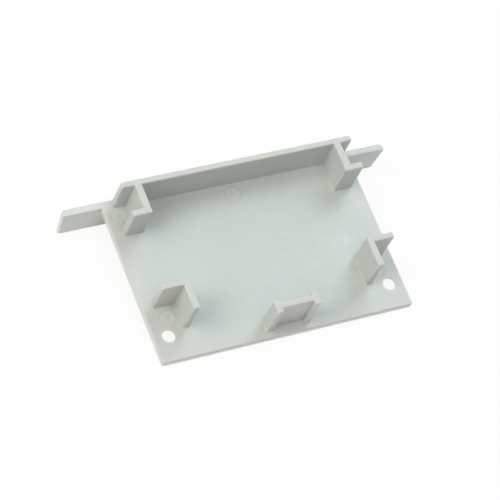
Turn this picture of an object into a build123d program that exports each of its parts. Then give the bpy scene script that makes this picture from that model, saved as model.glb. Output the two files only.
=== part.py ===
# A moulded end cap for a framing profile: a flat face plate with a longer strip along its far
# edge, and clips standing on its inner face that slide into the profile's hollow end.
#
# Millimetres. +X runs along the length, +Y from the screws to the strip, +Z out of the inner face,
# the way the clips stand. The origin is midway between the two screws, on the inner face.

from build123d import *
import os

# Face plate. Depths along Y are counted from its near edge.
PLATE_WIDTH = 70.0
PLATE_THICKNESS = 1.8
PLATE_CORNER_RADIUS = 0.6

# Screw holes, countersunk from the outer face
SCREW_SPACING = 61.9
SCREW_INSET = 6.75
SCREW_HOLE_RADIUS = 1.7
SCREW_HEAD_RADIUS = 3.2
SCREW_HEAD_ANGLE = 90.0

# Edge strip: longer than the plate, and a little shorter along its lower edge than along its top
STRIP_LENGTH_TOP = 91.4
STRIP_LENGTH_BOTTOM = 89.9
STRIP_HEIGHT = 9.3
STRIP_THICKNESS = 1.95
STRIP_BACK_INSET = 45.9
STRIP_TIP_RADIUS = 1.3

# Clips and far wall
CLIP_HEIGHT = 10.3
CLIP_REACH = 32.3
CLIP_EDGE_RADIUS = 0.4
DRAFT_ANGLE = 0.4

FAR_WALL_INSET = 45.25
FAR_WALL_THICKNESS = 1.75

C_CLIP_INNER_X = 26.9
C_CLIP_CROSS_THICKNESS = 2.05
C_CLIP_LIP_INSET = 35.35
C_CLIP_LIP_THICKNESS = 1.95

L_CLIP_INNER_X = 24.7
L_CLIP_NEAR_INSET = 7.9
L_CLIP_FAR_INSET = 16.45
L_CLIP_SIDE_THICKNESS = 1.9
L_CLIP_FAR_THICKNESS = 1.8

BRACKET_HALF_WIDTH = 6.1
BRACKET_NEAR_INSET = 1.7
BRACKET_FAR_INSET = 5.4
BRACKET_POST_THICKNESS = 1.8
BRACKET_WEB_INSET = 2.85
BRACKET_WEB_THICKNESS = 1.95

# Witness marks of the mould's ejector pins: (distance from the middle, inset) of each
EJECTOR_RADIUS = 2.0
EJECTOR_DEPTH = 0.15
EJECTOR_NEAR_CLIP = (29.4, 11.6)
EJECTOR_FAR_CLIP = (31.3, 41.0)
EJECTOR_MIDDLE_INSET = 40.6

# Rounded moulding edges
EDGE_RADIUS = 0.4
ROOT_RADIUS = 0.2

os.makedirs("parts", exist_ok=True)


def from_near_edge(inset):
    """The Y coordinate of a line this far in from the plate's near edge."""
    return inset - SCREW_INSET


def is_clip_side(face):
    """Whether this is one of the upright faces of the clips."""
    return face.center().Z > CLIP_HEIGHT / 4 and abs(face.normal_at().Z) < 0.5


with BuildPart() as end_cap:
    # The face plate runs back under the strip, so that the two are one moulding.
    near_y = from_near_edge(0)
    strip_back_y = from_near_edge(STRIP_BACK_INSET)
    with BuildSketch() as plate_outline:
        with Locations((0, near_y)):
            Rectangle(PLATE_WIDTH, STRIP_BACK_INSET, align=(Align.CENTER, Align.MIN))
        fillet(plate_outline.vertices().group_by(Axis.Y)[0], PLATE_CORNER_RADIUS)
    extrude(amount=-PLATE_THICKNESS)

    # The strip hangs from the inner face's level down past the outer face.
    with BuildSketch(Plane.XZ.offset(-strip_back_y)):
        with BuildLine():
            Polyline(
                (-STRIP_LENGTH_TOP / 2, 0),
                (STRIP_LENGTH_TOP / 2, 0),
                (STRIP_LENGTH_BOTTOM / 2, -STRIP_HEIGHT),
                (-STRIP_LENGTH_BOTTOM / 2, -STRIP_HEIGHT),
                close=True,
            )
        make_face()
    extrude(amount=STRIP_THICKNESS)

    # Its back corners are turned well over at both tips, its front ones only eased.
    strip_inner_y = strip_back_y - STRIP_THICKNESS
    back_edges = end_cap.faces().sort_by(Axis.Y)[-1].edges().sort_by(Axis.X)
    fillet([back_edges[0], back_edges[-1]], STRIP_TIP_RADIUS)
    front_edges = end_cap.edges().filter_by_position(Axis.Y, strip_inner_y - 0.01, strip_inner_y + 0.01)
    front_edges = front_edges.filter_by_position(Axis.Z, -STRIP_HEIGHT, -STRIP_HEIGHT / 3).sort_by(Axis.X)
    fillet([front_edges[0], front_edges[-1]], EDGE_RADIUS)

    # Top edges all round the T-shaped inner face, then the lower edges of the plate and the strip.
    fillet(end_cap.faces().sort_by(Axis.Z)[-1].edges(), EDGE_RADIUS)
    outer_face = end_cap.faces().filter_by(Axis.Z).sort_by(Axis.Z)[1]
    fillet(outer_face.edges().filter_by(lambda edge: edge.center().Y < strip_inner_y - 0.1), EDGE_RADIUS)
    fillet(end_cap.faces().sort_by(Axis.Z)[0].edges(), EDGE_RADIUS)

    # The clips, drawn in plan on the inner face: the far wall with a C clip at each end,
    # an L clip round each screw's corner, and between the screws a bracket: two posts and a web.
    far_outer_y = from_near_edge(FAR_WALL_INSET)
    far_inner_y = far_outer_y - FAR_WALL_THICKNESS
    lip_near_y = from_near_edge(C_CLIP_LIP_INSET)
    lip_far_y = lip_near_y + C_CLIP_LIP_THICKNESS
    cross_outer_x = C_CLIP_INNER_X + C_CLIP_CROSS_THICKNESS
    l_near_y = from_near_edge(L_CLIP_NEAR_INSET)
    l_far_y = from_near_edge(L_CLIP_FAR_INSET)
    l_side_x = L_CLIP_INNER_X + L_CLIP_SIDE_THICKNESS
    bracket_near_y = from_near_edge(BRACKET_NEAR_INSET)
    bracket_far_y = from_near_edge(BRACKET_FAR_INSET)
    web_near_y = from_near_edge(BRACKET_WEB_INSET)
    web_far_y = web_near_y + BRACKET_WEB_THICKNESS
    post_inner_x = BRACKET_HALF_WIDTH - BRACKET_POST_THICKNESS
    with BuildSketch():
        with BuildLine():
            right_half = Polyline(
                (0, far_inner_y),
                (C_CLIP_INNER_X, far_inner_y),
                (C_CLIP_INNER_X, lip_near_y),
                (CLIP_REACH, lip_near_y),
                (CLIP_REACH, lip_far_y),
                (cross_outer_x, lip_far_y),
                (cross_outer_x, far_inner_y),
                (CLIP_REACH, far_inner_y),
                (CLIP_REACH, far_outer_y),
                (0, far_outer_y),
            )
            mirror(right_half, about=Plane.YZ)
        make_face()
        with BuildLine():
            Polyline(
                (L_CLIP_INNER_X, l_near_y),
                (l_side_x, l_near_y),
                (l_side_x, l_far_y - L_CLIP_FAR_THICKNESS),
                (CLIP_REACH, l_far_y - L_CLIP_FAR_THICKNESS),
                (CLIP_REACH, l_far_y),
                (L_CLIP_INNER_X, l_far_y),
                close=True,
            )
        l_clip = make_face()
        mirror(l_clip, about=Plane.YZ)
        with BuildLine():
            half_bracket = Polyline(
                (0, web_far_y),
                (post_inner_x, web_far_y),
                (post_inner_x, bracket_far_y),
                (BRACKET_HALF_WIDTH, bracket_far_y),
                (BRACKET_HALF_WIDTH, bracket_near_y),
                (post_inner_x, bracket_near_y),
                (post_inner_x, web_near_y),
                (0, web_near_y),
            )
            mirror(half_bracket, about=Plane.YZ)
        make_face()
    extrude(amount=CLIP_HEIGHT)

    # Their sides lean in a little, so that the moulding leaves its mould. Outer corners and rims
    # are rounded, and each clip swells slightly where it stands on the plate.
    draft(end_cap.faces().filter_by(is_clip_side), Plane.XY, DRAFT_ANGLE)
    rims = end_cap.faces().group_by(Axis.Z)[-1].edges()
    uprights = end_cap.edges().filter_by(lambda edge: abs(edge.center().Z - CLIP_HEIGHT / 2) < 0.1)
    corners = uprights.filter_by(lambda edge: not edge.is_interior)
    fillet(rims + corners, CLIP_EDGE_RADIUS)
    clip_edges = end_cap.faces().filter_by(is_clip_side).edges()
    fillet(clip_edges.filter_by_position(Axis.Z, -0.001, 0.001), ROOT_RADIUS)

    # Screw holes through the plate, their heads sunk in the outer face
    with Locations(Plane((0, 0, -PLATE_THICKNESS), z_dir=(0, 0, -1))):
        with GridLocations(SCREW_SPACING, 0, 2, 1):
            CounterSinkHole(
                SCREW_HOLE_RADIUS,
                SCREW_HEAD_RADIUS,
                depth=PLATE_THICKNESS,
                counter_sink_angle=SCREW_HEAD_ANGLE,
            )

    # Ejector pin marks, pressed lightly into the inner face
    with BuildSketch():
        for across, inset in (EJECTOR_NEAR_CLIP, EJECTOR_FAR_CLIP):
            with Locations((across, from_near_edge(inset)), (-across, from_near_edge(inset))):
                Circle(EJECTOR_RADIUS)
        with Locations((0, from_near_edge(EJECTOR_MIDDLE_INSET))):
            Circle(EJECTOR_RADIUS)
    extrude(amount=-EJECTOR_DEPTH, mode=Mode.SUBTRACT)

end_cap.part.label = "end_cap"
export_step(end_cap.part, "parts/end_cap.step")
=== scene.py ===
# %% [markdown]
# # A profile end cap, finished in Blender
#
# This cap closes the cut end of a framing profile. It is one moulded piece of
# light grey plastic: a flat plate, a longer strip along one edge, two holes
# for countersunk screws and a set of thin clips that slide into the profile.
#
# Every shape is already in the solid model, so nothing is added to it here.
# The lesson is about what is left: a camera, a floor, soft lamps, and a
# plastic that looks moulded rather than painted.

# %% Load the solid model
import math
import bpy
from mathutils import Matrix, Vector


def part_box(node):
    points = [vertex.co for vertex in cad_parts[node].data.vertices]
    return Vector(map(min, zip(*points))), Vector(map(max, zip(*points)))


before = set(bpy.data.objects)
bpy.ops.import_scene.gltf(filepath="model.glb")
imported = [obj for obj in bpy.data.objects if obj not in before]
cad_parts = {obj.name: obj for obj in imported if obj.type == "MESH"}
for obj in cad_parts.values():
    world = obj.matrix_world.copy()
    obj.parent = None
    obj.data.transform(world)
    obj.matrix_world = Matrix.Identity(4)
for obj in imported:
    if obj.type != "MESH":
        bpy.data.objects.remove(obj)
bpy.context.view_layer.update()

# %% [markdown]
# ## Where things are
#
# The model's origin is midway between the two screw holes, on the inner face
# of the plate. X runs along the cap, Y from the screws to the long strip, and
# Z out of the inner face, the way the clips stand. The model's own box gives
# the outer edges, and three sizes of the moulding give the rest, in metres.

# %% Measure the cap
MM = 0.001
PLATE_LENGTH = 70.0 * MM
PLATE_THICKNESS = 1.8 * MM
STRIP_THICKNESS = 1.95 * MM

cap_low, cap_high = (Vector(corner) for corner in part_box("end_cap"))
near_edge, strip_back = cap_low.y, cap_high.y
strip_bottom, clip_top = cap_low.z, cap_high.z
print("length, depth, height, mm:", [round(v / MM, 2) for v in cap_high - cap_low])
print("the clips stand", round(clip_top / MM, 2), "mm above the inner face")

# %% [markdown]
# ## The camera
#
# The cap is seen from its near left corner and from well above, through a
# long lens, so its edges stay nearly parallel. The camera is also rolled, as
# if it were tipped on its tripod. It is easier to build this from four plain
# steps than from one table of angles: stand back from a point on the plate,
# go round, go up, then roll. The numbers for the steps weren't set by eye:
# they are the answer of a fit that ran outside this script, rounded.

# %% The camera
LENS = 179.36                # mm
SENSOR_WIDTH = 36.0          # mm
AIM = Vector((-1.66, 17.59, 0.0)) * MM
CAMERA_DISTANCE = 626.31 * MM
CAMERA_AZIMUTH = -48.314     # degrees, as are the next two
CAMERA_ELEVATION = 57.092
CAMERA_ROLL = 30.675


def direction_from(azimuth, elevation):
    """Unit vector from the cap towards a place; azimuth 0 is on the -Y side, 90 on the +X side."""
    a, e = math.radians(azimuth), math.radians(elevation)
    return Vector((math.sin(a) * math.cos(e), -math.cos(a) * math.cos(e), math.sin(e)))


def facing(place, target, roll=0.0):
    """Matrix of an object at place whose -Z axis looks at target."""
    turn = (target - place).to_track_quat("-Z", "Y").to_matrix().to_4x4()
    return Matrix.Translation(place) @ turn @ Matrix.Rotation(math.radians(roll), 4, "Z")


camera_data = bpy.data.cameras.new("camera")
camera_data.lens = LENS
camera_data.sensor_width = SENSOR_WIDTH
camera = bpy.data.objects.new("camera", camera_data)
bpy.context.scene.collection.objects.link(camera)
camera_place = AIM + direction_from(CAMERA_AZIMUTH, CAMERA_ELEVATION) * CAMERA_DISTANCE
camera.matrix_world = facing(camera_place, AIM, CAMERA_ROLL)
bpy.context.scene.camera = camera
print("camera stands at, mm:", [round(v / MM, 1) for v in camera_place])

# %% [markdown]
# ## The floor
#
# The cap lies on its outer face, but the strip reaches lower than the plate,
# so it leans: it touches down along the strip's bottom edge and along the
# plate's near edge. The model isn't turned to lie flat. The floor is tilted
# to meet it, and everything stays in the model's own frame.

# %% The tilted floor
FLOOR_WIDTH = 3.0            # metres
FLOOR_GAP = 0.02 * MM        # keeps the floor just clear of the cap

plate_underside = -PLATE_THICKNESS
strip_front = strip_back - STRIP_THICKNESS
floor_tilt = math.atan2(plate_underside - strip_bottom, strip_front - near_edge)
bpy.ops.object.select_all(action="DESELECT")
bpy.ops.mesh.primitive_plane_add(
    size=FLOOR_WIDTH,
    location=(0.0, strip_front, strip_bottom - FLOOR_GAP),
    rotation=(-floor_tilt, 0.0, 0.0),
)
floor = bpy.context.object
floor.name = "floor"
print("floor tilt:", round(math.degrees(floor_tilt), 2), "degrees")

# %% [markdown]
# ## Helpers for materials
#
# Colours are written the way a paint or web chart writes them, as hex, and
# turned linear in one place, because shaders work in linear light. Every
# node is added by one function that takes its settings and its links, so a
# material reads from top to bottom like a recipe. An input is called by its
# name, or by its place where several inputs share a name: _0 is the first.

# %% Colour and node helpers
WHITE = (1.0, 1.0, 1.0, 1.0)
BLACK = (0.0, 0.0, 0.0, 1.0)
SMOOTH = {"interpolation_type": "SMOOTHSTEP"}


def linear(hex_colour):
    """(r, g, b, 1) in linear light from a hex colour such as #CCD4CF."""
    channels = [int(hex_colour[i:i + 2], 16) / 255 for i in (1, 3, 5)]
    return tuple(c / 12.92 if c <= 0.04045 else ((c + 0.055) / 1.055) ** 2.4 for c in channels) + (1.0,)


def add_node(tree, kind, settings=None, **inputs):
    """Adds a node with its own settings. An input is a value, a socket, or a node for its first output."""
    node = tree.nodes.new(kind)
    for name, value in (settings or {}).items():
        setattr(node, name, value)
    for name, value in inputs.items():
        socket = node.inputs[int(name[1:])] if name[0] == "_" else node.inputs[name.replace("_", " ")]
        if isinstance(value, bpy.types.Node):
            value = value.outputs[0]
        if isinstance(value, bpy.types.NodeSocket):
            tree.links.new(value, socket)
        else:
            socket.default_value = value
    return node


def empty_material(name):
    """A material with no nodes yet."""
    material = bpy.data.materials.new(name)
    material.use_nodes = True
    material.node_tree.nodes.clear()
    return material


print("a middle grey, #808080, is", round(linear("#808080")[0], 3), "in linear light")

# %% [markdown]
# ## Looked at, or only lighting?
#
# A ray of light in the renderer knows what sent it. The paper and the world
# both use that: a ray from the camera, from a reflection or through something
# clear is a ray that looks, and it may be shown a plain white background. All
# other rays carry the light that falls on the cap, and must be told the truth.

# %% Rays that look
RAYS_THAT_LOOK = ("Is Camera Ray", "Is Glossy Ray", "Is Transmission Ray")


def looking(tree):
    """1 for a ray from the camera, a reflection or a clear material, and 0 for any other."""
    ray = add_node(tree, "ShaderNodeLightPath")
    looks, *others = (ray.outputs[kind] for kind in RAYS_THAT_LOOK)
    for other in others:
        looks = add_node(tree, "ShaderNodeMath", {"operation": "ADD", "use_clamp": True}, _0=looks, _1=other)
    return looks


print("kinds of ray that look:", len(RAYS_THAT_LOOK))

# %% [markdown]
# ## White paper under the cap
#
# The floor is a sheet of smooth white paper. The lamps light it as they
# light the cap, and that is all the light it gives back. Paper in soft light
# still looks a little grey to a camera, so where the camera or a reflection
# looks at it, most of what it sees is plain white at a strength of 1, and the
# rest is the lit paper, which keeps the cap's shadow. Making the lamps
# stronger would turn the paper white too, but it would bleach the cap.

# %% The paper's material
PAPER_WHITE = "#FBFBFA"
PLAIN_WHITE_SHARE = 0.90

paper = empty_material("white paper, matte")
tree = paper.node_tree
lit = add_node(tree, "ShaderNodeBsdfDiffuse", Color=linear(PAPER_WHITE))
plain = add_node(tree, "ShaderNodeEmission", Color=WHITE, Strength=1.0)
seen = add_node(tree, "ShaderNodeMixShader", _0=PLAIN_WHITE_SHARE, _1=lit, _2=plain)
either = add_node(tree, "ShaderNodeMixShader", _0=looking(tree), _1=lit, _2=seen)
add_node(tree, "ShaderNodeOutputMaterial", Surface=either)
floor.data.materials.append(paper)
print("floor material:", paper.name)

# %% [markdown]
# ## The light
#
# The cap is lit as small goods are in a white box: soft light from the left
# and from behind on the right, so each clip throws one soft shadow to the
# right and one towards the viewer, and the faces turned to the viewer stay
# darker than the plate. One lamp overhead opens those shadows, and a low one
# on the right runs a thin bright line along the rounded edges. The two behind
# on the right are a touch cool, the one behind on the left and the one in
# front are a touch warm, and together the seven come to white.
#
# A lamp's strength is given as the share of white that it would put on a
# sheet facing it. The flat plate gets less of a low lamp than of a high one,
# and for the plate the seven come to about 1 as well, so the plastic's colour
# renders about as it is written.
#
# The list of lamps wasn't set by eye either. Where they stand, their shares
# and their colours are the answer of a least-squares solver, rounded. Only the
# front lamp was then changed.

# %% Soft boxes
LAMP_DISTANCE = 0.8          # metres, as is the next
LAMP_WIDTH = 0.5
MIDDLE_OF_CAP = Vector((0.0, 16.0, 0.0)) * MM
LAMPS = [    # name, azimuth and elevation in degrees, share of white, colour
    ("lamp left", 270, 32, 0.38, "#FFFFFF"),
    ("lamp left behind", 247, 52, 0.28, "#FFFCE7"),
    ("lamp overhead", 20, 76, 0.285, "#FFFFFF"),
    ("lamp right low", 112, 15, 0.28, "#FFFBFF"),
    ("lamp behind right low", 135, 32, 0.185, "#E8EAFF"),
    ("lamp behind right high", 135, 52, 0.19, "#E3FAFF"),
    ("lamp front", 337, 52, 0.08, "#FFD8BE"),
]


def soft_box(name, azimuth, elevation, share, colour):
    """A round soft lamp that puts share of full white on a sheet that faces it from the cap."""
    lamp = bpy.data.lights.new(name, "AREA")
    lamp.shape = "DISK"
    lamp.size = LAMP_WIDTH
    lamp.color = linear(colour)[:3]
    lamp.energy = share * (math.pi * LAMP_DISTANCE) ** 2
    box = bpy.data.objects.new(name, lamp)
    bpy.context.scene.collection.objects.link(box)
    stand = MIDDLE_OF_CAP + direction_from(azimuth, elevation) * LAMP_DISTANCE
    box.matrix_world = facing(stand, MIDDLE_OF_CAP)


light_on_plate = Vector((0.0, 0.0, 0.0))
for name, azimuth, elevation, share, colour in LAMPS:
    soft_box(name, azimuth, elevation, share, colour)
    light_on_plate += Vector(linear(colour)[:3]) * share * math.sin(math.radians(elevation))
print("red, green and blue light on the plate:", [round(v, 2) for v in light_on_plate])

# %% [markdown]
# ## The world
#
# Nothing is needed from the world but a background: plain white where the
# camera or a reflection looks past the paper, so a low view has no dark
# horizon. To the light that falls on the cap it is black, because the lamps
# already do all the lighting.

# %% The room
room = bpy.data.worlds.new("room")
bpy.context.scene.world = room
room.use_nodes = True
tree = room.node_tree
tree.nodes.clear()
dark = add_node(tree, "ShaderNodeBackground", Color=BLACK, Strength=0.0)
bright = add_node(tree, "ShaderNodeBackground", Color=WHITE, Strength=1.0)
either = add_node(tree, "ShaderNodeMixShader", _0=looking(tree), _1=dark, _2=bright)
add_node(tree, "ShaderNodeOutputWorld", Surface=either)
bpy.context.scene.view_settings.view_transform = "Standard"
print("view transform:", bpy.context.scene.view_settings.view_transform)

# %% [markdown]
# ## The plastic
#
# The real cap is ABS, coloured all through and injection moulded in a steel
# mould with a fine spark-eroded finish. To the eye that is one light grey
# with a trace of green, with nothing painted over it, and a satin sheen: it
# draws a bright line along a rounded edge and is too dull to mirror a lamp.
# Up close it also has the small marks of its making. An image could hold all
# of this, but nodes worked out from real sizes stay crisp at any distance and
# need no unwrapping, so the finish is built from nodes, one layer in a cell.
#
# Plastics have an index of refraction near 1.5, and ABS is never metallic.

# %% The plastic's shader
plastic = empty_material("light grey ABS, injection moulded, satin")
tree = plastic.node_tree
shader = add_node(tree, "ShaderNodeBsdfPrincipled", Metallic=0.0, IOR=1.50)
add_node(tree, "ShaderNodeOutputMaterial", Surface=shader)
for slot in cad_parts["end_cap"].material_slots:
    slot.material = plastic
print("slots that wear the plastic:", len(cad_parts["end_cap"].material_slots))

# %% [markdown]
# ## Places on the cap
#
# Every layer needs to know where it is on the cap. Object coordinates are in
# metres here, so a Mapping node turns them into millimetres, and the sizes
# below can then be read as a maker would say them. The left and right of the
# cap are alike, so several masks use the distance from the middle, which is x
# without its sign. Three masks come first: the inner face of the plate, all
# that stands above it, and the tops of the clips.

# %% Places, in millimetres
FACE_FADE = (0.3, 0.6)       # heights between which the inner face gives way to the clips
TOP_FADE = (0.5, 0.1)        # depths below the clips' tops between which their mask comes in

coordinates = add_node(tree, "ShaderNodeTexCoord")
place = add_node(tree, "ShaderNodeMapping", Vector=coordinates.outputs["Object"],
                 Scale=(1 / MM, 1 / MM, 1 / MM))
axes = add_node(tree, "ShaderNodeSeparateXYZ", Vector=place)
from_middle = add_node(tree, "ShaderNodeMath", {"operation": "ABSOLUTE"}, _0=axes.outputs["X"])
from_face = add_node(tree, "ShaderNodeMath", {"operation": "ABSOLUTE"}, _0=axes.outputs["Z"])
on_inner_face = add_node(tree, "ShaderNodeMapRange", SMOOTH, Value=from_face,
                         From_Min=FACE_FADE[0], From_Max=FACE_FADE[1], To_Min=1.0, To_Max=0.0)
on_clips = add_node(tree, "ShaderNodeMapRange", SMOOTH, Value=axes.outputs["Z"],
                    From_Min=FACE_FADE[0], From_Max=FACE_FADE[1])
on_clip_top = add_node(tree, "ShaderNodeMapRange", SMOOTH, Value=axes.outputs["Z"],
                       From_Min=clip_top / MM - TOP_FADE[0], From_Max=clip_top / MM - TOP_FADE[1])
print("clip tops start at z =", round(clip_top / MM - TOP_FADE[0], 2), "mm")

# %% [markdown]
# ## Clouds and specks in the colour
#
# Pigment is mixed into the pellets before they melt, and it never spreads
# quite evenly. Two noises stand for that: wide clouds and fine specks. Each
# moves one number, the tone, up or down by very little. All the later marks
# move the same number, and at the end it picks a grey between a deep one and
# a pale one, so no layer can drift away from the plastic's own hue.

# %% Clouds and specks
CLOUD_SIZE = 22.0            # mm
CLOUD_STRENGTH = 0.32
SPECK_SIZE = 1.2             # mm; real specks are nearer 0.1 mm, too fine to show, so they are drawn coarser
SPECK_STRENGTH = 0.22


def tone_moved(mask, strength):
    """The tone so far, moved by strength where the mask is 1 and not at all where it is 0."""
    return add_node(tree, "ShaderNodeMath", {"operation": "MULTIPLY_ADD"}, _0=mask, _1=strength, _2=tone)


clouds = add_node(tree, "ShaderNodeTexNoise", Vector=place, Scale=1 / CLOUD_SIZE, Detail=4.0)
specks = add_node(tree, "ShaderNodeTexNoise", Vector=place, Scale=1 / SPECK_SIZE, Detail=3.0)
tone = 0.5 - 0.5 * (CLOUD_STRENGTH + SPECK_STRENGTH)
print("tone starts at", round(tone, 3), "so that both noises together come to a half")
tone = tone_moved(clouds, CLOUD_STRENGTH)
tone = tone_moved(specks, SPECK_STRENGTH)

# %% [markdown]
# ## Flow streaks
#
# Where the melt ran past the clips and met itself again, it left faint
# slanting streaks on the right half of the inner face. A streak is noise that
# has been drawn out: a Mapping node set to Texture turns the pattern and
# makes its unit long one way and narrow the other. A slow noise pushes the
# places about before that, so the streaks bend, because melt never runs
# straight.

# %% The pattern of the streaks
STREAK_SLANT = -38.0                # degrees from the X axis
STREAK_SIZE = (7.0, 0.46, 1.0)      # mm, along and across
BEND_SIZE = 16.0                    # mm, from one bend to the next
BEND_PUSH = (5.5, 5.5, 0.0)         # mm

bend = add_node(tree, "ShaderNodeTexNoise", Vector=place, Scale=1 / BEND_SIZE, Detail=1.0)
bent_place = add_node(tree, "ShaderNodeVectorMath", {"operation": "MULTIPLY_ADD"},
                      _0=bend.outputs["Color"], _1=BEND_PUSH, _2=place)
drawn_out = add_node(tree, "ShaderNodeMapping", {"vector_type": "TEXTURE"}, Vector=bent_place,
                     Rotation=(0.0, 0.0, math.radians(STREAK_SLANT)), Scale=STREAK_SIZE)
streaks = add_node(tree, "ShaderNodeTexNoise", Vector=drawn_out, Scale=1.0, Detail=2.0)
print("streaks are", STREAK_SIZE[0], "mm long and", STREAK_SIZE[1], "mm wide")

# %% [markdown]
# Noise is strong everywhere, and the streaks aren't. They start at the middle
# of the cap, end before the far wall, keep to the inner face, and come and go
# in patches. Each of those is a mask, and the masks are multiplied. The noise
# has its middle value taken away first, so that a streak can be paler or
# deeper than the plastic round it.

# %% Where the streaks show
STREAKS_BEGIN = (-6.0, 6.0)         # mm along X
STREAKS_END = (24.0, 34.0)          # mm along Y
PATCH_SIZE = 7.0                    # mm
PATCH_FADE = (0.35, 0.65)           # values of the noise between which a patch begins
BETWEEN_PATCHES = 0.15
STREAK_STRENGTH = 0.85

right_half = add_node(tree, "ShaderNodeMapRange", SMOOTH, Value=axes.outputs["X"],
                      From_Min=STREAKS_BEGIN[0], From_Max=STREAKS_BEGIN[1])
before_wall = add_node(tree, "ShaderNodeMapRange", SMOOTH, Value=axes.outputs["Y"],
                       From_Min=STREAKS_END[0], From_Max=STREAKS_END[1], To_Min=1.0, To_Max=0.0)
patches = add_node(tree, "ShaderNodeTexNoise", Vector=place, Scale=1 / PATCH_SIZE, Detail=1.0)
in_patches = add_node(tree, "ShaderNodeMapRange", SMOOTH, Value=patches,
                      From_Min=PATCH_FADE[0], From_Max=PATCH_FADE[1], To_Min=BETWEEN_PATCHES, To_Max=1.0)
faded = add_node(tree, "ShaderNodeMath", {"operation": "SUBTRACT"}, _0=streaks, _1=0.5)
for mask in (right_half, before_wall, on_inner_face, in_patches):
    faded = add_node(tree, "ShaderNodeMath", {"operation": "MULTIPLY"}, _0=faded, _1=mask)
tone = tone_moved(faded, STREAK_STRENGTH)
print("streaks begin between x =", STREAKS_BEGIN[0], "and", STREAKS_BEGIN[1], "mm")

# %% [markdown]
# ## Painted highlights, a painted sheen and a spot of painted shade
#
# Among the streaks are two paler lines, long thin spots: painted highlights
# where the shine changes along faint creases. A spherical gradient is 1 at its
# centre and 0 at a distance of one unit, so a Mapping node that sets a long
# unit one way and a short one the other turns a ball into a line with soft
# ends. The same helper makes a wide pale patch near the front edge on the
# right, a painted sheen, and one dark spot of painted shade in the corner
# where the left end of the strip meets the end of the plate.

# %% Spots and pale lines
HIGHLIGHT_LINES = [    # middle and half length in mm, slant in degrees
    ((18.0, 17.0, 0.0), 5.4, -27.0),
    ((15.5, -0.1, 0.0), 4.4, -26.0),
]
HIGHLIGHT_LINE_HALF_WIDTH = 0.35         # mm
HIGHLIGHT_LINE_HALF_DEPTH = 0.5          # mm
HIGHLIGHT_LINE_STRENGTH = 0.22
PAINTED_SHEEN_STRENGTH = 0.20


def spot(middle, half_size, slant=0.0):
    """1 in the middle of a soft spot on the cap and 0 outside it; sizes in mm, slant in degrees."""
    around = add_node(tree, "ShaderNodeMapping", {"vector_type": "TEXTURE"}, Vector=place,
                      Location=middle, Rotation=(0.0, 0.0, math.radians(slant)), Scale=half_size)
    gradient = add_node(tree, "ShaderNodeTexGradient", {"gradient_type": "SPHERICAL"}, Vector=around)
    return gradient.outputs["Fac"]


# painted highlights: two pale lines where the shine changes along faint creases
for middle, half_length, slant in HIGHLIGHT_LINES:
    line = spot(middle, (half_length, HIGHLIGHT_LINE_HALF_WIDTH, HIGHLIGHT_LINE_HALF_DEPTH), slant)
    tone = tone_moved(line, HIGHLIGHT_LINE_STRENGTH)
# painted sheen: a wide pale patch near the front edge on the right
painted_sheen = spot(middle=(24.0, 0.5, 0.0), half_size=(16.0, 7.0, 1.0))
tone = tone_moved(painted_sheen, PAINTED_SHEEN_STRENGTH)
# painted shade: a dark spot in the corner where the strip's left end meets the plate
painted_corner_shade = spot(middle=(-35.5, 37.2, -0.8), half_size=(0.6, 0.8, 0.6))
print("pale lines:", len(HIGHLIGHT_LINES), "with one wide pale patch and one dark fleck")

# %% [markdown]
# ## Ejector marks
#
# When the mould opens, steel pins push the cap out, and each leaves a shallow
# round mark. The marks are cut in the model. The colour adds three rings to
# each: a paler band inside the pin's edge, a middle a touch darker, and
# outside the band a hairline of painted shade where the step would throw its
# shadow. All three are drawn by distance from the nearest pin. With the
# distance from the middle in place of x, three centres do for five marks.

# %% Distance from the nearest pin
PIN_CENTRES = [(29.4, 11.6), (31.3, 41.0), (0.0, 40.6)]    # mm from the middle, and from the front edge

front_edge = near_edge / MM
mirrored = add_node(tree, "ShaderNodeCombineXYZ", X=from_middle, Y=axes.outputs["Y"], Z=0.0)
nearest = None
for x, inset in PIN_CENTRES:
    centre = (x, front_edge + inset, 0.0)
    distance = add_node(tree, "ShaderNodeVectorMath", {"operation": "DISTANCE"}, _0=mirrored, _1=centre)
    distance = distance.outputs["Value"]
    if nearest is None:
        nearest = distance
    else:
        nearest = add_node(tree, "ShaderNodeMath", {"operation": "MINIMUM"}, _0=nearest, _1=distance)
print("ejector marks drawn from", len(PIN_CENTRES), "centres")

# %% Rings round the pins
PIN_RADIUS = 2.0                     # mm
MARK_LAYERS = [    # radius and half width in mm, strength
    (0.0, PIN_RADIUS, -0.06),        # the pin's middle, a touch darker
    (PIN_RADIUS - 0.7, 0.6, 0.21),   # a paler band inside the pin's edge
    (PIN_RADIUS + 0.1, 0.4, -0.32),  # painted shade in the step
]


def ring(radius, half_width):
    """1 on a circle round the nearest pin, and 0 beyond half_width from it; sizes in mm."""
    off = add_node(tree, "ShaderNodeMath", {"operation": "SUBTRACT"}, _0=nearest, _1=radius)
    off = add_node(tree, "ShaderNodeMath", {"operation": "ABSOLUTE"}, _0=off)
    line = add_node(tree, "ShaderNodeMapRange", SMOOTH, Value=off,
                    From_Min=0.0, From_Max=half_width, To_Min=1.0, To_Max=0.0)
    return add_node(tree, "ShaderNodeMath", {"operation": "MULTIPLY"}, _0=line, _1=on_inner_face)


for radius, half_width, strength in MARK_LAYERS:
    tone = tone_moved(ring(radius, half_width), strength)
print("each mark has", len(MARK_LAYERS), "layers")

# %% [markdown]
# ## Painted highlight on the edges
#
# The rounded edges and the tops of the clips catch more light, and here
# that is painted into the colour: they are made a little paler and creamier,
# a painted highlight, and also a little smoother. The Ambient Occlusion node
# finds edges when it looks inside the plastic: from the middle of a face it
# sees only plastic, and near an edge it soon meets the other side. A noise
# breaks the highlight up, so that no edge is lit evenly.

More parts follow.
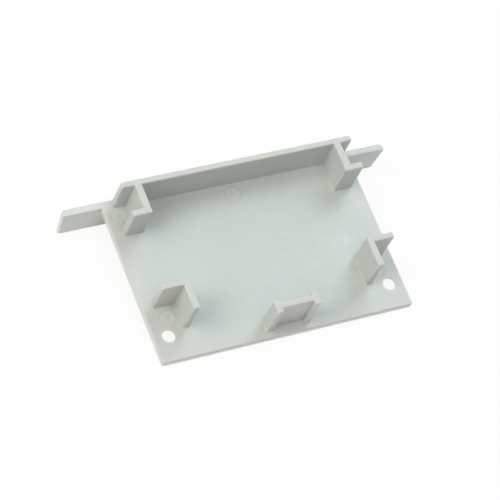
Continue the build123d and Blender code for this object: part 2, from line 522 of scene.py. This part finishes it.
# %% Painted highlight on edges and clip tops
EDGE_LIGHT_WIDTH = 0.8 * MM
FULL_LIGHT_AT = 0.60                       # share of the rays sent inwards that meet no other side
NO_LIGHT_AT = 0.97
TOP_LIGHT = 0.30
EDGE_LIGHT_PATCH = 3.5                     # mm
EDGE_LIGHT_NOISE = (0.3, 0.7)              # nearly all of the noise lies between these
PATCH_EDGE_LIGHT = (0.25, 0.75)            # the least and the most highlight that a patch lets through

# painted highlight on the rounded edges and the clips' tops
inside = add_node(tree, "ShaderNodeAmbientOcclusion", {"inside": True, "only_local": True, "samples": 12},
                  Distance=EDGE_LIGHT_WIDTH)
edge = add_node(tree, "ShaderNodeMapRange", SMOOTH, Value=inside.outputs["AO"],
                From_Min=FULL_LIGHT_AT, From_Max=NO_LIGHT_AT, To_Min=1.0, To_Max=0.0)
edges_and_tops = add_node(tree, "ShaderNodeMath", {"operation": "MULTIPLY_ADD", "use_clamp": True},
                  _0=on_clip_top, _1=TOP_LIGHT, _2=edge)
patches = add_node(tree, "ShaderNodeTexNoise", Vector=place, Scale=1 / EDGE_LIGHT_PATCH, Detail=3.0)
uneven = add_node(tree, "ShaderNodeMapRange", Value=patches,
                  From_Min=EDGE_LIGHT_NOISE[0], From_Max=EDGE_LIGHT_NOISE[1],
                  To_Min=PATCH_EDGE_LIGHT[0], To_Max=PATCH_EDGE_LIGHT[1])
edge_highlight = add_node(tree, "ShaderNodeMath", {"operation": "MULTIPLY"}, _0=edges_and_tops, _1=uneven)
print("edges wear over", EDGE_LIGHT_WIDTH / MM, "mm")

# %% [markdown]
# ## Less green near the rim and on the clips
#
# Near the rim of the plate and on the clips the colour is made greyer, with
# some of the green taken away. On the clips this is painted light, a warmer
# tint for the light that falls on their faces. Smooth steps find those
# places: near the plate's front edge, near its two ends, and above the inner
# face. The largest of them counts. On the clips the tone is also made a
# little deeper, which is painted shade.

# %% Greyer places, and painted shade on the clips
GREYING_REACH = 7.0                     # mm in from the edges
GREYING_ON_RIM = 0.50
GREYING_ON_CLIPS = 0.35
PAINTED_CLIP_SHADE = -0.14

plate_end = PLATE_LENGTH / 2 / MM
# greyer, less green places; on the clips this is a painted light tint
front_rim = add_node(tree, "ShaderNodeMapRange", SMOOTH, Value=axes.outputs["Y"],
                     From_Min=front_edge, From_Max=front_edge + GREYING_REACH, To_Min=GREYING_ON_RIM, To_Max=0.0)
end_rims = add_node(tree, "ShaderNodeMapRange", SMOOTH, Value=from_middle,
                    From_Min=plate_end - GREYING_REACH, From_Max=plate_end, To_Max=GREYING_ON_RIM)
rims = add_node(tree, "ShaderNodeMath", {"operation": "MAXIMUM"}, _0=front_rim, _1=end_rims)
clips = add_node(tree, "ShaderNodeMath", {"operation": "MULTIPLY"}, _0=on_clips, _1=GREYING_ON_CLIPS)
greying = add_node(tree, "ShaderNodeMath", {"operation": "MAXIMUM"}, _0=rims, _1=clips)
# painted shade: the clips' tone is made a little deeper
tone = tone_moved(on_clips, PAINTED_CLIP_SHADE)
print("the film reaches", GREYING_REACH, "mm in from the plate's rim")

# %% [markdown]
# ## The side that shows
#
# Once the cap is fitted, only its outer side shows: the rim of the plate, the
# outer face and the strip with its two ends. That side is painted paler and
# less green than the side with the clips: painted light, standing in for light
# bounced up from below, brighter than the paper gives. Two smooth steps find
# it, one below the inner face and one beyond the plate's ends, and the larger
# of the two counts.

# %% Painted light on the side that shows
BELOW_FACE = (-0.7, -0.1)            # heights between which the painted light fades out
BELOW_SHARE = 0.85
PAST_PLATE_END = (-0.5, 2.5)         # mm past the plate's end at which the strip's own end begins
STRIP_END_SHARE = 0.45

# painted light from below on the side that shows
below = add_node(tree, "ShaderNodeMapRange", SMOOTH, Value=axes.outputs["Z"],
                 From_Min=BELOW_FACE[0], From_Max=BELOW_FACE[1], To_Min=BELOW_SHARE, To_Max=0.0)
strip_ends = add_node(tree, "ShaderNodeMapRange", SMOOTH, Value=from_middle,
                      From_Min=plate_end + PAST_PLATE_END[0], From_Max=plate_end + PAST_PLATE_END[1],
                      To_Max=STRIP_END_SHARE)
painted_floor_light = add_node(tree, "ShaderNodeMath", {"operation": "MAXIMUM"}, _0=below, _1=strip_ends)
print("bleached below z =", BELOW_FACE[1], "mm and beyond x =", plate_end, "mm")

# %% [markdown]
# ## The colour, put together
#
# The tone picks the grey, then the greying, the painted light on the side that
# shows, the painted highlight on the edges and the spot of painted shade are
# laid over it in that order. Each is one Mix node, whose colours are its inputs
# 6 and 7, and its mixed colour its output 2.

# %% The colour
DEEP_GREY = "#B5BDB9"
PALE_GREY = "#D5DDD9"
LAYERS = [    # where, and in which colour
    (greying, "#D3D3D2"),        # greyer; on the clips a painted light tint
    (painted_floor_light, "#DCE2DE"),    # painted light from below
    (edge_highlight, "#DCDAD0"),        # painted highlight, pale and creamy
    (painted_corner_shade, "#8A8A82"),       # painted shade in a corner
]

colour = add_node(tree, "ShaderNodeMix", {"data_type": "RGBA"},
                  _0=tone, _6=linear(DEEP_GREY), _7=linear(PALE_GREY)).outputs[2]
for mask, hex_colour in LAYERS:
    colour = add_node(tree, "ShaderNodeMix", {"data_type": "RGBA"},
                      _0=mask, _6=colour, _7=linear(hex_colour)).outputs[2]
tree.links.new(colour, shader.inputs["Base Color"])
print("greys from", DEEP_GREY, "to", PALE_GREY, "under", len(LAYERS), "layers")

# %% [markdown]
# ## Sheen and grain
#
# A spark-eroded mould leaves tiny even pits. Seen from arm's length they only
# scatter the shine, and that is the roughness, about 0.4 for satin ABS. It
# wanders a little over the surface, and is lower on the edges that carry the
# painted highlight. The pits are also given as bump, which is cheaper than
# real geometry and is enough, because none of them is deep enough to change
# the outline.

# %% Roughness and grain
SATIN = 0.38
SATIN_WANDERS = 0.04
SHEEN_PATCH = 6.0                    # mm
SHEEN_NOISE = (0.25, 0.75)           # nearly all of the noise lies between these
EDGES_SMOOTHER = -0.06
GRAIN_SIZE = 0.35                    # mm; the real pits are near 0.08 mm, too fine to show, so drawn coarser
GRAIN_DEPTH = 0.016 * MM

sheen = add_node(tree, "ShaderNodeTexNoise", Vector=place, Scale=1 / SHEEN_PATCH, Detail=3.0)
satin = add_node(tree, "ShaderNodeMapRange", Value=sheen,
                 From_Min=SHEEN_NOISE[0], From_Max=SHEEN_NOISE[1],
                 To_Min=SATIN - SATIN_WANDERS, To_Max=SATIN + SATIN_WANDERS)
roughness = add_node(tree, "ShaderNodeMath", {"operation": "MULTIPLY_ADD"},
                     _0=edge_highlight, _1=EDGES_SMOOTHER, _2=satin)
tree.links.new(roughness.outputs[0], shader.inputs["Roughness"])
grain = add_node(tree, "ShaderNodeTexNoise", Vector=place, Scale=1 / GRAIN_SIZE, Detail=1.0)
bump = add_node(tree, "ShaderNodeBump", Strength=1.0, Distance=GRAIN_DEPTH, Height=grain)
tree.links.new(bump.outputs[0], shader.inputs["Normal"])
print("roughness about", SATIN, "and grain of", GRAIN_SIZE, "mm")
